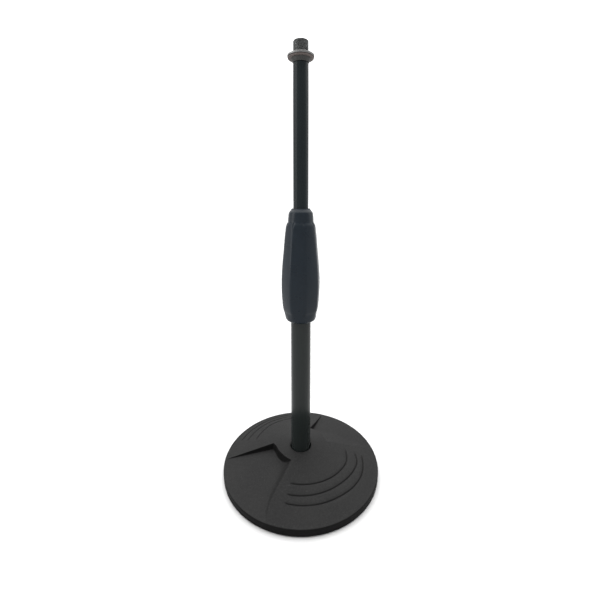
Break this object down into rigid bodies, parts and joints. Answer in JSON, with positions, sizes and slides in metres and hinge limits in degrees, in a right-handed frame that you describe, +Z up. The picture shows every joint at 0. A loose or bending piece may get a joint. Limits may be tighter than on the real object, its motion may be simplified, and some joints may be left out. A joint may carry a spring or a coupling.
{
  "type": "desktop microphone stand",
  "caption": "Height-adjustable desktop microphone stand with a heavy round cast base, telescoping tubes, a barrel-shaped twist clutch, and a threaded steel stud with lock ring on top.",
  "frame": {"origin": "centre of the circle that the base stands on, at the surface of the desk", "axes": "+Z up along the tubes; -Y is the front; the sunk sector on the left faces -X and -Y, the other faces +X and +Y"},
  "size_m": [0.176, 0.176, 0.4667],
  "materials": {
    "base_iron": "charcoal textured powder coat over cast iron",
    "pad_rubber": "black moulded rubber",
    "fixing_steel": "zinc-plated steel",
    "lower_tube_black": "matt black powder coat",
    "upper_tube_black": "satin black coat",
    "collet_plastic": "natural white nylon",
    "grip_plastic": "satin black moulded plastic",
    "wiper_plastic": "matt black plastic",
    "stud_steel": "dark burnished steel",
    "washer_fibre": "vulcanised fibre",
    "ring_steel": "nickel-plated steel"
  },
  "bodies": {
    "base": {"base_casting": "base_iron", "rim_pad": "pad_rubber", "base_bolt": "fixing_steel", "spring_washer": "fixing_steel", "flat_washer": "fixing_steel", "tube_plug": "fixing_steel", "lower_tube": "lower_tube_black", "clutch_body": "fixing_steel", "clutch_pin_right": "fixing_steel", "clutch_pin_left": "fixing_steel"},
    "collet": {"collet": "collet_plastic"},
    "grip": {"grip_sleeve": "grip_plastic", "clutch_nut": "fixing_steel", "wiper_ring": "wiper_plastic"},
    "slider": {"glide_bush": "collet_plastic"},
    "mast": {"upper_tube": "upper_tube_black", "mast_bumper": "pad_rubber", "glide_clip": "fixing_steel", "thread_stud": "stud_steel"},
    "washer": {"fibre_washer": "washer_fibre"},
    "lock_ring": {"lock_ring": "ring_steel"}
  },
  "joints": [
    {"name": "collet_lift", "type": "slide", "parent": "base", "child": "collet", "axis": [0, 0, 1], "range_m": [0, 0.0015]},
    {"name": "grip_turn", "type": "hinge", "parent": "collet", "child": "grip", "pos_m": [0, 0, 0.1765], "axis": [0, 0, 1], "range_deg": [0, 180]},
    {"name": "mast_slide", "type": "slide", "parent": "base", "child": "slider", "axis": [0, 0, 1], "range_m": [-0.145, 0.012]},
    {"name": "mast_spin", "type": "hinge", "parent": "slider", "child": "mast", "pos_m": [0, 0, 0.205], "axis": [0, 0, 1], "continuous": true},
    {"name": "washer_lift", "type": "slide", "parent": "mast", "child": "washer", "axis": [0, 0, 1], "range_m": [0, 0.0076]},
    {"name": "lock_ring_turn", "type": "hinge", "parent": "washer", "child": "lock_ring", "pos_m": [0, 0, 0.4511], "axis": [0, 0, 1], "range_deg": [0, 2880]}
  ],
  "couplings": [
    {"joint": "collet_lift", "follows": "grip_turn", "m_per_rad": 0.00047746},
    {"joint": "washer_lift", "follows": "lock_ring_turn", "m_per_rad": 0.00014972}
  ]
}
